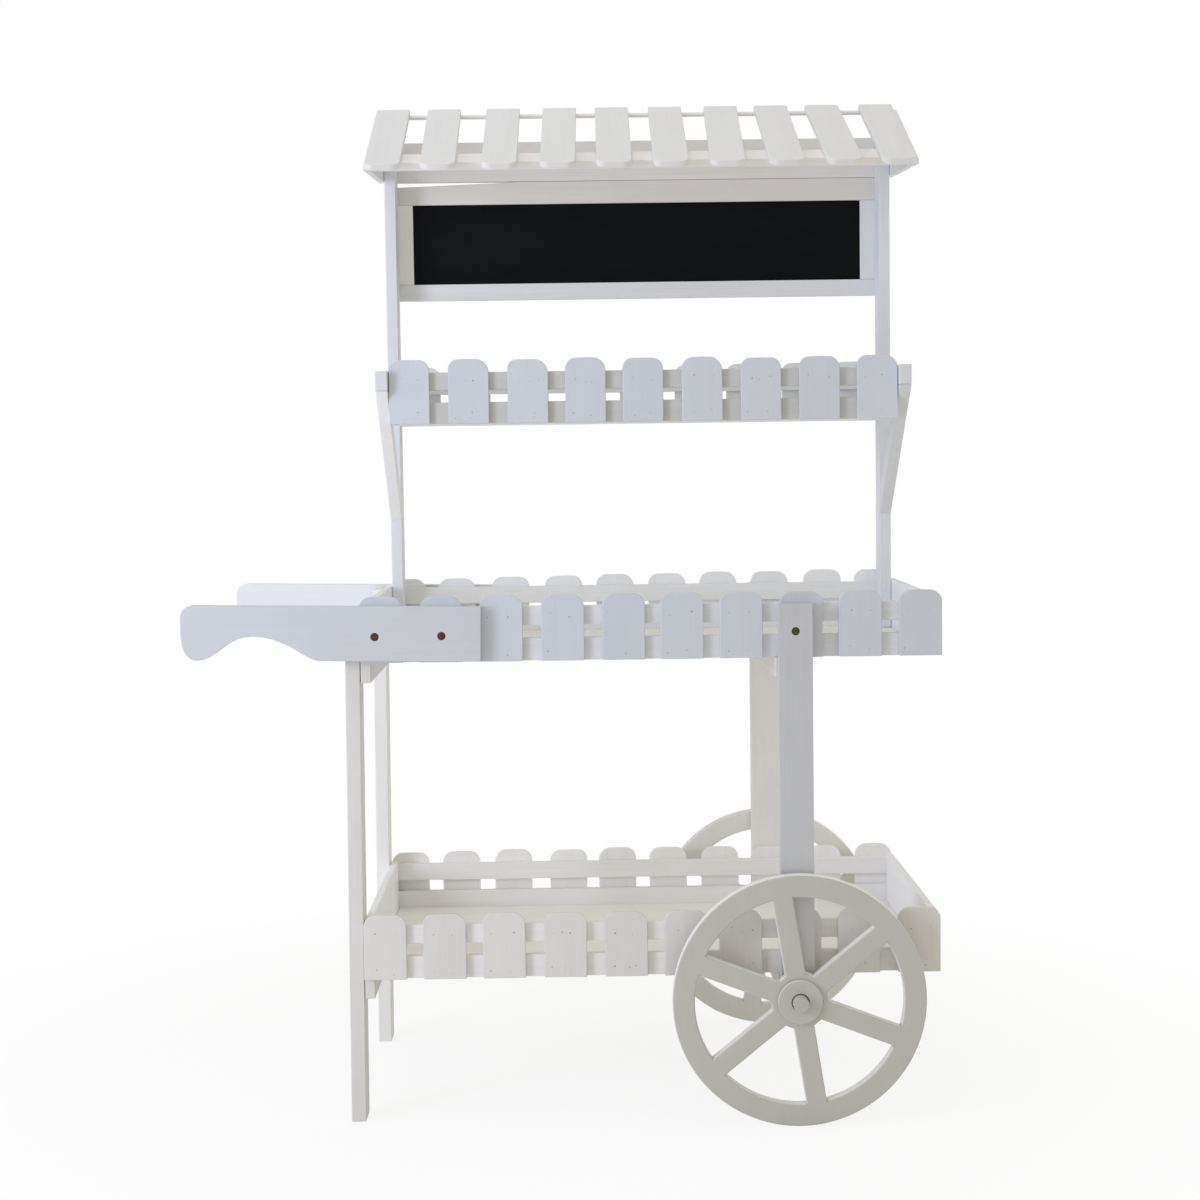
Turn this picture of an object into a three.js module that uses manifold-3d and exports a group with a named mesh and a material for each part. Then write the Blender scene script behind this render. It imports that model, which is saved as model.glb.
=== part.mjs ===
// Flower cart stand: a picket-fenced display cart in white painted wood, with a lower tray, a
// middle tray, a cantilevered top shelf, a chalkboard and a slatted lean-to roof. It stands on
// two legs at the handle end and on two spoked wheels that turn on a wooden axle.
//
// Millimetres. +X runs from the handles to the wheels, +Y from front to back, +Z up.
// The origin is on the ground, in the middle of the cart's outline seen from above.

import * as THREE from 'three';
import { mergeVertices } from 'three/addons/utils/BufferGeometryUtils.js';
import Module from 'manifold-3d';

const wasm = await Module();
wasm.setup();

// ---------------------------------------------------------------- driving dimensions

// Hairline left between two pieces that are painted first and put together afterwards
const jointGap = 0.3;

// How far a cut reaches past the faces that it opens
const cutMargin = 1;

// Fences: pickets nailed across two rails
const picketWidth = 68;
const picketThickness = 10;
const picketHeight = 105;
const picketCornerRadius = 18;
const railThickness = 12;
const lowerRailHeight = 36;
const upperRailHeight = 30;
const upperRailRise = 56;          // fence bottom to the underside of the upper rail

// Trays
const trayLength = 918;            // over the fences
const trayWidth = 534;             // over the outer faces of the pickets
const trayPickets = 10;
const endBoardThickness = 12;
const endBoardHeight = 92;
const floorThickness = 6;
const lowerTrayZ = 232;            // ground to the tray's underside
const middleTrayZ = 738;
const lowerTrayShift = 3.5;        // the lower tray sits this much nearer the handle end

// Legs at the handle end, and the beams under the trays
const legWidth = 23.5;
const legDepth = 52;
const beamWidth = 16;
const beamHeight = 32;

// Wheels, axle and the two legs that carry them
const wheelRadius = 200;
const wheelThickness = 22;
const rimWidth = 35;
const spokeCount = 6;
const spokeWidth = 32;
const spokeStartAngle = 39;        // degrees, of the first spoke above the level
const webRadius = 45;              // solid middle of the wheel, to the corners between the spokes
const hubRadius = 35;
const outerHubThickness = 8;
const innerHubThickness = 5;
const axleRadius = 12.5;
const axleBoreClearance = 1.5;     // the wheels run loose on the axle
const axleSeatClearance = 0.3;     // the axle is a push fit in the wheel legs
const axleStickOut = 17;           // past the outer hub
const wheelLegWidth = 53;
const wheelLegThickness = 22;
const wheelLegPicket = 8;          // the picket that the wheel leg is bolted to
const axleOffset = -10.8;          // from the middle of that picket
const wheelLegBelowAxle = 35;

// Handles
const handleLength = 469;
const handleHeight = 86;
const handleThickness = 18;
const handleOverlap = 191;         // length that lies along the tray
const handleRise = 2;              // tray underside to the handle's lower edge
const handleTilt = 1;              // degrees, up towards the grip
const gripCutStart = 252;          // these are measured from the handle's square end
const gripCutPeak = 356;
const gripBulbBottom = 444;
const gripCutDepth = 38;
const gripNoseHeight = 45;
const gripTopRadius = 18;

// Bolts through a handle or a wheel leg, its picket and a nut behind
const boltHeight = 43;             // above the tray's underside, between the two rails
const boltHeadRadius = 6;
const boltHeadHeight = 4;
const boltShankRadius = 3;
const boltHeadDepth = 5;           // depth of the recess that the head sits in
const boltNutRadius = 6;
const boltNutHeight = 5;
const boltTail = 2;
const boltClearance = 0.5;
const handleBoltOffsets = [-8, 2]; // from the middles of the first and second picket

// Posts
const postWidth = 20;
const postDepth = 50;
const postHeight = 916;            // middle tray's floor to the top of the post

// Top shelf
const shelfZ = 1115;               // ground to the shelf's underside
const shelfReach = 226;            // post front to the outer face of the front pickets
const shelfPickets = 9;
const armLength = 242;
const armHeight = 33;
const armRise = 56;                // shelf underside to the arm's underside
const braceDrop = 222;
const braceDepth = 33;

// Chalkboard and header board, on the backs of the posts
const headerHeight = 70;
const headerThickness = 12;
const headerDrop = 41;             // post top to the header's upper edge
const frameGap = 3;                // between the header and the chalkboard frame
const frameThickness = 14;
const frameTopRail = 37;
const frameBottomRail = 29;
const frameStile = 46;
const boardHeight = 141;           // of the black opening
const boardThickness = 5;
const rebateWidth = 8;
const rebateDepth = 8;

// Roof
const roofPitch = 26;              // degrees
const slatCount = 10;
const slatWidth = 58;
const slatLength = 300;
const slatThickness = 10;
const slatLowerRadius = 16;
const slatUpperRadius = 3;
const slatSetback = 3;             // post front to the slats' upper ends
const slatInset = 5;               // gusset's outer face to the outer slat's edge
const eaveRailWidth = 46;
const eaveRailThickness = 14;
const eaveOverhang = 38;           // of the slats past the eave rail
const ridgeLathWidth = 12;
const ridgeLathThickness = 5;
const ridgeLathInset = 1;          // slats' upper ends to the lath
const gussetThickness = 12;
const gussetTipInset = 28;         // slats' lower ends to the tip, along the slope
const gussetTipDepth = 8;
const gussetHeelDepth = 112;       // post top to the gusset's lower edge at the post's back

// Facets of round stretches
const circleFacets = 60;
const smallFacets = 16;
const cornerFacets = 5;

// ---------------------------------------------------------------- derived places

const degrees = Math.PI / 180;
const tray = {
  end: trayLength / 2,
  picketFace: trayWidth / 2,
  railFace: trayWidth / 2 - picketThickness,
  inside: trayWidth / 2 - picketThickness - railThickness,
  innerEnd: trayLength / 2 - endBoardThickness,
};
const post = {
  outer: tray.innerEnd - jointGap,
  inner: tray.innerEnd - jointGap - postWidth,
  back: tray.inside - jointGap,
  front: tray.inside - jointGap - postDepth,
  bottom: middleTrayZ + floorThickness + jointGap,
  top: middleTrayZ + floorThickness + jointGap + postHeight,
};
const shelf = {
  end: post.inner - jointGap,
  innerEnd: post.inner - jointGap - endBoardThickness,
  front: post.front - shelfReach,
  back: post.back,
};
const picketPitch = (trayLength - picketWidth) / (trayPickets - 1);
const picketMiddle = (number) => -tray.end + picketWidth / 2 + (number - 1) * picketPitch;
const axleX = picketMiddle(wheelLegPicket) + axleOffset;
const axleZ = wheelRadius;
const outerPieceFace = tray.picketFace + jointGap; // inner face of the handles and wheel legs
const wheelInnerFace = outerPieceFace + wheelLegThickness + jointGap;
const handleBoltX = handleBoltOffsets.map((offset, index) => picketMiddle(index + 1) + offset);

// ---------------------------------------------------------------- materials

const whitePaint = new THREE.MeshStandardMaterial({ color: 0xe6e7ea, roughness: 0.55 });
const wheelPaint = new THREE.MeshStandardMaterial({ color: 0xdcdbd6, roughness: 0.6 });
const chalkboardBlack = new THREE.MeshStandardMaterial({ color: 0x14171a, roughness: 0.75 });
const bronze = new THREE.MeshStandardMaterial({ color: 0x5a4330, roughness: 0.4, metalness: 0.9 });

// ---------------------------------------------------------------- shape helpers

const cart = new THREE.Group();

function addMesh(name, geometry, material, parent = cart) {
  const mesh = new THREE.Mesh(geometry, material);
  mesh.name = name;
  parent.add(mesh);
  return mesh;
}

// A sawn board between two corners, given as [from, to] along each axis
function boardGeometry([x0, x1], [y0, y1], [z0, z1]) {
  const geometry = new THREE.BoxGeometry(x1 - x0, y1 - y0, z1 - z0);
  geometry.translate((x0 + x1) / 2, (y0 + y1) / 2, (z0 + z1) / 2);
  return geometry;
}

function addBoard(name, xRange, yRange, zRange, parent = cart) {
  return addMesh(name, boardGeometry(xRange, yRange, zRange), whitePaint, parent);
}

// A pair of ranges mirrored about zero: side is -1 or +1
const mirrored = ([near, far], side) => (side < 0 ? [-far, -near] : [near, far]);

function toSolid(geometry) {
  const bare = geometry.clone();
  bare.deleteAttribute('normal');
  bare.deleteAttribute('uv');
  const merged = mergeVertices(bare);
  return new wasm.Manifold(new wasm.Mesh({
    numProp: 3,
    vertProperties: new Float32Array(merged.attributes.position.array),
    triVerts: new Uint32Array(merged.index.array),
  }));
}

function toGeometry(solid) {
  const mesh = solid.getMesh();
  const geometry = new THREE.BufferGeometry();
  geometry.setAttribute('position', new THREE.BufferAttribute(mesh.vertProperties, 3));
  geometry.setIndex(new THREE.BufferAttribute(mesh.triVerts, 1));
  geometry.computeVertexNormals();
  return geometry;
}

const join = (parts) => parts.map(toSolid).reduce((whole, part) => whole.add(part));
const cut = (solid, tools) => (
  tools.map(toSolid).reduce((whole, tool) => whole.subtract(tool), solid));

// An outline drawn in X and Z, made solid from y = 0 to y = thickness
function extrudeAlongY(shape, thickness, curveSegments = cornerFacets) {
  const options = { depth: thickness, bevelEnabled: false, curveSegments };
  const geometry = new THREE.ExtrudeGeometry(shape, options);
  geometry.rotateX(Math.PI / 2);
  geometry.translate(0, thickness, 0);
  return geometry;
}

// An outline drawn in Y and Z, made solid between two places along X
function extrudeAlongX(shape, [x0, x1]) {
  const geometry = new THREE.ExtrudeGeometry(shape, { depth: x1 - x0, bevelEnabled: false });
  const turn = new THREE.Matrix4().makeBasis(
    new THREE.Vector3(0, 1, 0), new THREE.Vector3(0, 0, 1), new THREE.Vector3(1, 0, 0));
  geometry.applyMatrix4(turn);
  geometry.translate(x0, 0, 0);
  return geometry;
}

// A round pin or hole along Y
function roundAlongY(radius, [y0, y1], x, z, facets = smallFacets) {
  const geometry = new THREE.CylinderGeometry(radius, radius, y1 - y0, facets);
  geometry.translate(x, (y0 + y1) / 2, z);
  return geometry;
}

// ---------------------------------------------------------------- fences and trays

function picketShape(x) {
  const half = picketWidth / 2;
  const radius = picketCornerRadius;
  const shape = new THREE.Shape();
  shape.moveTo(x - half, 0);
  shape.lineTo(x + half, 0);
  shape.lineTo(x + half, picketHeight - radius);
  shape.absarc(x + half - radius, picketHeight - radius, radius, 0, Math.PI / 2);
  shape.lineTo(x - half + radius, picketHeight);
  shape.absarc(x - half + radius, picketHeight - radius, radius, Math.PI / 2, Math.PI);
  return shape;
}

// Pickets with their outer faces at y = 0 and the two rails behind them, standing on z = 0
function fenceGeometry(length, pickets, boltPlaces = []) {
  const pitch = (length - picketWidth) / (pickets - 1);
  const parts = [];
  for (let index = 0; index < pickets; index += 1) {
    const x = -length / 2 + picketWidth / 2 + index * pitch;
    parts.push(extrudeAlongY(picketShape(x), picketThickness));
  }
  const railDepth = [picketThickness, picketThickness + railThickness];
  for (const [bottom, height] of [[0, lowerRailHeight], [upperRailRise, upperRailHeight]]) {
    parts.push(boardGeometry([-length / 2, length / 2], railDepth, [bottom, bottom + height]));
  }
  const holeRange = [-cutMargin, picketThickness + cutMargin];
  const holes = boltPlaces.map((x) => (
    roundAlongY(boltShankRadius + boltClearance, holeRange, x, boltHeight)));
  return toGeometry(cut(join(parts), holes));
}

function addFence(name, geometry, outerFace, side, z, x = 0) {
  const fence = addMesh(name, geometry, whitePaint);
  fence.position.set(x, side * outerFace, z);
  fence.rotation.z = side > 0 ? Math.PI : 0;
}

function addTray(name, middleX, z, boltPlaces) {
  const front = fenceGeometry(trayLength, trayPickets, boltPlaces);
  const back = fenceGeometry(trayLength, trayPickets, boltPlaces.map((x) => -x));
  addFence(`${name}_front_fence`, front, tray.picketFace, -1, z, middleX);
  addFence(`${name}_back_fence`, back, tray.picketFace, 1, z, middleX);
  const reach = tray.inside - jointGap;
  for (const [side, word] of [[-1, 'left'], [1, 'right']]) {
    const endX = mirrored([tray.innerEnd, tray.end], side).map((place) => place + middleX);
    addBoard(`${name}_${word}_end`, endX, [-reach, reach], [z, z + endBoardHeight]);
  }
  const floorEnd = tray.innerEnd - jointGap;
  addBoard(`${name}_floor`, [middleX - floorEnd, middleX + floorEnd], [-reach, reach],
    [z, z + floorThickness]);
}

addTray('lower_tray', -lowerTrayShift, lowerTrayZ, []);
addTray('middle_tray', 0, middleTrayZ, [...handleBoltX, axleX]);

// ---------------------------------------------------------------- legs and beams

const trayTopRail = upperRailRise + upperRailHeight;

// A leg leans out just enough to lie against the ends of both trays; its foot is cut level
function legShape() {
  const top = middleTrayZ + trayTopRail;
  const lean = lowerTrayShift / (middleTrayZ - lowerTrayZ);
  const inner = -tray.end - jointGap;
  const foot = inner - lean * top;
  return new THREE.Shape([
    new THREE.Vector2(foot - legWidth, 0),
    new THREE.Vector2(foot, 0),
    new THREE.Vector2(inner, top),
    new THREE.Vector2(inner - legWidth, top),
  ]);
}

for (const [side, word] of [[-1, 'front'], [1, 'back']]) {
  const leg = addMesh(`${word}_leg`, extrudeAlongY(legShape(), legDepth), whitePaint);
  leg.position.y = side < 0 ? -tray.railFace : tray.railFace - legDepth;
}

function addBeam(name, left, trayZ, halfLength) {
  const top = trayZ - jointGap;
  addBoard(name, [left, left + beamWidth], [-halfLength, halfLength], [top - beamHeight, top]);
}

const wheelBeamLeft = axleX - axleRadius - axleBoreClearance - beamWidth;
addBeam('lower_leg_beam', -tray.end - lowerTrayShift, lowerTrayZ, tray.railFace);
addBeam('middle_leg_beam', -tray.end, middleTrayZ, tray.railFace);
addBeam('lower_wheel_beam', wheelBeamLeft, lowerTrayZ, tray.picketFace);
addBeam('middle_wheel_beam', wheelBeamLeft, middleTrayZ, tray.picketFace);

// ---------------------------------------------------------------- bolts

// Head at y = 0 facing -Y, shank and nut towards +Y, for a piece of the given thickness
function boltGeometry(pieceThickness) {
  const nutFace = pieceThickness - boltHeadDepth + boltHeadHeight + picketThickness + jointGap * 2;
  return toGeometry(join([
    roundAlongY(boltHeadRadius, [0, boltHeadHeight], 0, 0),
    roundAlongY(boltShankRadius, [0, nutFace + boltNutHeight + boltTail], 0, 0),
    roundAlongY(boltNutRadius, [nutFace, nutFace + boltNutHeight], 0, 0, 6),
  ]));
}

// The hole for a bolt through a piece whose outer face is at y = 0
function boltHole(x, z, pieceThickness) {
  return [
    roundAlongY(boltHeadRadius + boltClearance, [-cutMargin, boltHeadDepth], x, z),
    roundAlongY(boltShankRadius + boltClearance, [-cutMargin, pieceThickness + cutMargin], x, z),
  ];
}

function addBolt(name, x, side, pieceThickness) {
  const bolt = addMesh(name, boltGeometry(pieceThickness), bronze);
  const headFace = outerPieceFace + pieceThickness - boltHeadDepth + boltHeadHeight + jointGap;
  bolt.position.set(x, side * headFace, middleTrayZ + boltHeight);
  bolt.rotation.z = side > 0 ? Math.PI : 0;
}

// ---------------------------------------------------------------- handles

// The square end's lower corner is at x = 0, z = 0, and the grip is towards -X
function handleShape() {
  const shape = new THREE.Shape();
  shape.moveTo(0, 0);
  shape.lineTo(0, handleHeight);
  shape.lineTo(-handleLength + gripTopRadius, handleHeight);
  shape.absarc(-handleLength + gripTopRadius, handleHeight - gripTopRadius, gripTopRadius,
    Math.PI / 2, Math.PI);
  shape.lineTo(-handleLength, gripNoseHeight);
  const noseWidth = handleLength - gripBulbBottom;
  shape.bezierCurveTo(-handleLength, gripNoseHeight * 0.4, -handleLength + noseWidth * 0.35, 0,
    -gripBulbBottom, 0);
  const leftReach = (gripBulbBottom - gripCutPeak) / 2;
  shape.bezierCurveTo(-gripBulbBottom + leftReach * 0.75, 0, -gripCutPeak - leftReach, gripCutDepth,
    -gripCutPeak, gripCutDepth);
  const rightReach = (gripCutPeak - gripCutStart) / 2;
  shape.bezierCurveTo(-gripCutPeak + rightReach, gripCutDepth, -gripCutStart - rightReach * 0.4, 0,
    -gripCutStart, 0);
  return shape;
}

function addHandle(name, side) {
  const handleX = -tray.end + handleOverlap;
  const handleZ = middleTrayZ + handleRise;
  const turned = extrudeAlongY(handleShape(), handleThickness, cornerFacets * 2);
  turned.rotateY(handleTilt * degrees);
  turned.translate(handleX, 0, handleZ);
  const thickness = handleThickness;
  const holes = handleBoltX.flatMap((x) => boltHole(x, middleTrayZ + boltHeight, thickness));
  const solid = cut(toSolid(turned), holes);
  const upright = side < 0 ? solid : solid.mirror([0, 1, 0]);
  const handle = addMesh(name, toGeometry(upright), whitePaint);
  handle.position.y = side * (outerPieceFace + handleThickness);
}

for (const [side, word] of [[-1, 'front'], [1, 'back']]) {
  addHandle(`${word}_handle`, side);
  handleBoltX.forEach((x, index) => {
    addBolt(`${word}_handle_bolt_${index + 1}`, x, side, handleThickness);
  });
}

// ---------------------------------------------------------------- wheels, wheel legs and axle

function arcPoints(radius, from, to, facets) {
  return Array.from({ length: facets + 1 }, (_, index) => {
    const angle = from + ((to - from) * index) / facets;
    return new THREE.Vector2(radius * Math.cos(angle), radius * Math.sin(angle));
  });
}

// The opening between two neighbouring spokes, starting from the spoke at the given angle
function wheelWindow(spokeAngle) {
  const halfSpoke = spokeWidth / 2;
  const innerRim = wheelRadius - rimWidth;
  const next = spokeAngle + (2 * Math.PI) / spokeCount;
  const atWeb = Math.asin(halfSpoke / webRadius);
  const atRim = Math.asin(halfSpoke / innerRim);
  return new THREE.Path([
    ...arcPoints(innerRim, spokeAngle + atRim, next - atRim, circleFacets / spokeCount),
    ...arcPoints(webRadius, next - atWeb, spokeAngle + atWeb, 1),
  ]);
}

// The wheel's plate from y = 0 to its outer hub on the -Y side and its inner hub on the +Y side
function wheelGeometry() {
  const plate = new THREE.Shape(arcPoints(wheelRadius, 0, 2 * Math.PI, circleFacets).slice(0, -1));
  for (let spoke = 0; spoke < spokeCount; spoke += 1) {
    const angle = spokeStartAngle * degrees + (2 * Math.PI * spoke) / spokeCount;
    plate.holes.push(wheelWindow(angle));
  }
  const hubRange = [-outerHubThickness, wheelThickness + innerHubThickness];
  const hub = roundAlongY(hubRadius, hubRange, 0, 0, circleFacets / 2);
  const boreRange = [hubRange[0] - cutMargin, hubRange[1] + cutMargin];
  const bore = roundAlongY(axleRadius + axleBoreClearance, boreRange, 0, 0, circleFacets / 2);
  return toGeometry(cut(join([extrudeAlongY(plate, wheelThickness), hub]), [bore]));
}

const wheelOuterFace = wheelInnerFace + innerHubThickness + wheelThickness;

for (const [side, word] of [[-1, 'front'], [1, 'back']]) {
  const wheel = addMesh(`${word}_wheel`, wheelGeometry(), wheelPaint);
  wheel.position.set(axleX, side * wheelOuterFace, axleZ);
  wheel.rotation.z = side > 0 ? Math.PI : 0;

  const legTop = middleTrayZ + trayTopRail;
  const halfWidth = wheelLegWidth / 2;
  const leg = toSolid(boardGeometry([-halfWidth, halfWidth], [0, wheelLegThickness],
    [-wheelLegBelowAxle, legTop - axleZ]));
  const boreRange = [-cutMargin, wheelLegThickness + cutMargin];
  const holes = [
    roundAlongY(axleRadius + axleSeatClearance, boreRange, 0, 0, circleFacets / 2),
    ...boltHole(0, middleTrayZ + boltHeight - axleZ, wheelLegThickness),
  ];
  const wheelLeg = addMesh(`${word}_wheel_leg`, toGeometry(cut(leg, holes)), whitePaint);
  wheelLeg.position.set(axleX, side * (outerPieceFace + wheelLegThickness), axleZ);
  wheelLeg.rotation.z = side > 0 ? Math.PI : 0;
  addBolt(`${word}_wheel_leg_bolt`, axleX, side, wheelLegThickness);
}

const axleEnd = wheelOuterFace + outerHubThickness + axleStickOut;
addMesh('axle', roundAlongY(axleRadius, [-axleEnd, axleEnd], axleX, axleZ, circleFacets / 2), wheelPaint);

// ---------------------------------------------------------------- posts and top shelf

const armBottom = shelfZ + armRise;
const armFront = post.front - armLength;

function braceShape() {
  const run = post.front - jointGap - armFront;
  const slope = Math.atan2(braceDrop, run);
  const top = armBottom - jointGap;
  return new THREE.Shape([
    new THREE.Vector2(armFront, top),
    new THREE.Vector2(armFront + run, top - braceDrop),
    new THREE.Vector2(armFront + run, top - braceDrop + braceDepth / Math.cos(slope)),
    new THREE.Vector2(armFront + braceDepth / Math.sin(slope), top),
  ]);
}

for (const [side, word] of [[-1, 'left'], [1, 'right']]) {
  const postX = mirrored([post.inner, post.outer], side);
  addBoard(`${word}_post`, postX, [post.front, post.back], [post.bottom, post.top]);
  addBoard(`${word}_shelf_arm`, postX, [armFront, post.front - jointGap],
    [armBottom, armBottom + armHeight]);
  addMesh(`${word}_shelf_brace`, extrudeAlongX(braceShape(), postX), whitePaint);
}

const shelfLength = shelf.end * 2;
addFence('shelf_front_fence', fenceGeometry(shelfLength, shelfPickets), -shelf.front, -1, shelfZ);
addFence('shelf_back_fence', fenceGeometry(shelfLength, shelfPickets), shelf.back, 1, shelfZ);

const fenceDepth = picketThickness + railThickness;
const shelfInside = [shelf.front + fenceDepth + jointGap, shelf.back - fenceDepth - jointGap];
for (const [side, word] of [[-1, 'left'], [1, 'right']]) {
  addBoard(`shelf_${word}_end`, mirrored([shelf.innerEnd, shelf.end], side), shelfInside,
    [shelfZ, shelfZ + endBoardHeight]);
}
const shelfFloorEnd = shelf.innerEnd - jointGap;
addBoard('shelf_floor', [-shelfFloorEnd, shelfFloorEnd], shelfInside,
  [shelfZ, shelfZ + floorThickness]);

// ---------------------------------------------------------------- chalkboard and header

const boardsFace = post.back + jointGap;
const headerBottom = post.top - headerDrop - headerHeight;
addBoard('header_board', [-post.outer, post.outer], [boardsFace, boardsFace + headerThickness],
  [headerBottom, headerBottom + headerHeight]);

const frameTop = headerBottom - frameGap;
const openingTop = frameTop - frameTopRail;
const openingBottom = openingTop - boardHeight;
const openingEnd = post.outer - frameStile;
const pocketY = [boardsFace + frameThickness - rebateDepth, boardsFace + frameThickness + cutMargin];
const pocket = boardGeometry([-openingEnd - rebateWidth, openingEnd + rebateWidth], pocketY,
  [openingBottom - rebateWidth, openingTop + rebateWidth]);

function addFramePiece(name, xRange, zRange) {
  const piece = boardGeometry(xRange, [boardsFace, boardsFace + frameThickness], zRange);
  addMesh(name, toGeometry(cut(toSolid(piece), [pocket])), whitePaint);
}

addFramePiece('chalkboard_top_rail', [-post.outer, post.outer], [openingTop, frameTop]);
addFramePiece('chalkboard_bottom_rail', [-post.outer, post.outer],
  [openingBottom - frameBottomRail, openingBottom]);
for (const [side, word] of [[-1, 'left'], [1, 'right']]) {
  addFramePiece(`chalkboard_${word}_stile`, mirrored([openingEnd, post.outer], side),
    [openingBottom + jointGap, openingTop - jointGap]);
}

const panelMargin = rebateWidth - jointGap;
const panelFront = pocketY[0] + jointGap;
addMesh('chalkboard_panel', boardGeometry(
  [-openingEnd - panelMargin, openingEnd + panelMargin],
  [panelFront, panelFront + boardThickness],
  [openingBottom - panelMargin, openingTop + panelMargin],
), chalkboardBlack);

// ---------------------------------------------------------------- roof

// In the roof's own frame y runs up the slope from the slats' lower ends and z = 0 is their underside
const roof = new THREE.Group();
const pitch = roofPitch * degrees;
const slatTopY = post.front - slatSetback;
const eaveY = slatTopY - slatLength * Math.cos(pitch);
const eaveZ = post.top - slatLength * Math.sin(pitch);
roof.position.set(0, eaveY, eaveZ);
roof.rotation.x = pitch;
cart.add(roof);

function slatShape() {
  const half = slatWidth / 2;
  const low = slatLowerRadius;
  const high = slatUpperRadius;
  const shape = new THREE.Shape();
  shape.moveTo(-half + low, 0);
  shape.lineTo(half - low, 0);
  shape.absarc(half - low, low, low, -Math.PI / 2, 0);
  shape.lineTo(half, slatLength - high);
  shape.absarc(half - high, slatLength - high, high, 0, Math.PI / 2);
  shape.lineTo(-half + high, slatLength);
  shape.absarc(-half + high, slatLength - high, high, Math.PI / 2, Math.PI);
  shape.lineTo(-half, low);
  shape.absarc(-half + low, low, low, Math.PI, Math.PI * 1.5);
  return shape;
}

const gussetInner = post.outer + jointGap;
const roofEnd = gussetInner + gussetThickness;
const slatEnd = roofEnd - slatInset;
const slatPitch = (2 * slatEnd - slatWidth) / (slatCount - 1);
for (let index = 0; index < slatCount; index += 1) {
  const geometry = new THREE.ExtrudeGeometry(slatShape(), {
    depth: slatThickness, bevelEnabled: false, curveSegments: cornerFacets,
  });
  const number = String(index + 1).padStart(2, '0');
  const slat = addMesh(`roof_slat_${number}`, geometry, whitePaint, roof);
  slat.position.x = -slatEnd + slatWidth / 2 + index * slatPitch;
}

const railEnd = gussetInner - jointGap;
addBoard('eave_rail', [-railEnd, railEnd], [eaveOverhang, eaveOverhang + eaveRailWidth],
  [-jointGap - eaveRailThickness, -jointGap], roof);
const lathTop = slatLength - ridgeLathInset;
addBoard('ridge_lath', [-railEnd, railEnd], [lathTop - ridgeLathWidth, lathTop],
  [-jointGap - ridgeLathThickness, -jointGap], roof);

// Side gusset: its sloped edge carries the end slat, its back part is screwed to the post
function gussetShape() {
  const drop = jointGap / Math.cos(pitch);
  const slopeZ = (y) => eaveZ + (y - eaveY) * Math.tan(pitch) - drop;
  const tipY = eaveY + gussetTipInset * Math.cos(pitch);
  return new THREE.Shape([
    new THREE.Vector2(tipY, slopeZ(tipY) - gussetTipDepth),
    new THREE.Vector2(post.back, post.top - gussetHeelDepth),
    new THREE.Vector2(post.back, slopeZ(slatTopY)),
    new THREE.Vector2(slatTopY, slopeZ(slatTopY)),
    new THREE.Vector2(tipY, slopeZ(tipY)),
  ]);
}

for (const [side, word] of [[-1, 'left'], [1, 'right']]) {
  const gussetX = mirrored([gussetInner, roofEnd], side);
  addMesh(`${word}_roof_gusset`, extrudeAlongX(gussetShape(), gussetX), whitePaint);
}

// ---------------------------------------------------------------- origin

const bounds = new THREE.Box3().setFromObject(cart, true);
cart.position.x = -(bounds.min.x + bounds.max.x) / 2;

export default cart;
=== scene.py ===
# Looks of the flower cart stand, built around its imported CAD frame.
# Metres, in the CAD's own frame: +X towards the wheels, +Y towards the back, +Z up.

import math
import random

import bmesh
import bpy
from mathutils import Matrix, Vector


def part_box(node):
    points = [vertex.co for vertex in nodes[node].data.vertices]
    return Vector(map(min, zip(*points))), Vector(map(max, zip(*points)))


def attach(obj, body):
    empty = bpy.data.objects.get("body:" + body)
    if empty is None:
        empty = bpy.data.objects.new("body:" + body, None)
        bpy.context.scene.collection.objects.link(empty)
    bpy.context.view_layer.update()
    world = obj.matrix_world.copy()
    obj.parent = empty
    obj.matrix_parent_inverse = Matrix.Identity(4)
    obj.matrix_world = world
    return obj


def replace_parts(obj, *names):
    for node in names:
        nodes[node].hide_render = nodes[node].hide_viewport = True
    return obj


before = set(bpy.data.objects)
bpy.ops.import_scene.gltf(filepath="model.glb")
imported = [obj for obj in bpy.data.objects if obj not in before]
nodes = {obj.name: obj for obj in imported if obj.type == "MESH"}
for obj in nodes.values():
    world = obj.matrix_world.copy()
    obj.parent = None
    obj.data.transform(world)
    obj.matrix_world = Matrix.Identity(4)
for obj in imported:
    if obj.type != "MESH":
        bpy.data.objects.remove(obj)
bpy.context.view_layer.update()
rng = random.Random(7)
MM = 0.001

# Widths of the sanded edges, by kind of piece
HEAVY_EDGE, BOARD_EDGE, LATH_EDGE = 1.6 * MM, 1.2 * MM, 1.0 * MM
FLOOR_EDGE, PANEL_EDGE, BOLT_EDGE = 0.6 * MM, 0.4 * MM, 0.7 * MM
PICKET_EDGE, TOP_RAIL_EDGE = 1.3 * MM, 0.9 * MM
# Edges flatter than FLAT_ANGLE are dissolved, and those sharper than the other two are rounded
FLAT_ANGLE, NODE_SHARP_ANGLE, SHARP_ANGLE = math.radians(0.6), math.radians(32), math.radians(35)
NODE_WELD_GAP, CURVE_WELD_GAP = 0.02 * MM, 0.01 * MM


# ---------------------------------------------------------------- materials

def srgb(r, g, b):
    """A colour given as 0 to 255 display values, in linear light."""
    def channel(v):
        v /= 255
        return v / 12.92 if v <= 0.04045 else ((v + 0.055) / 1.055) ** 2.4
    return (channel(r), channel(g), channel(b), 1)


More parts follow.
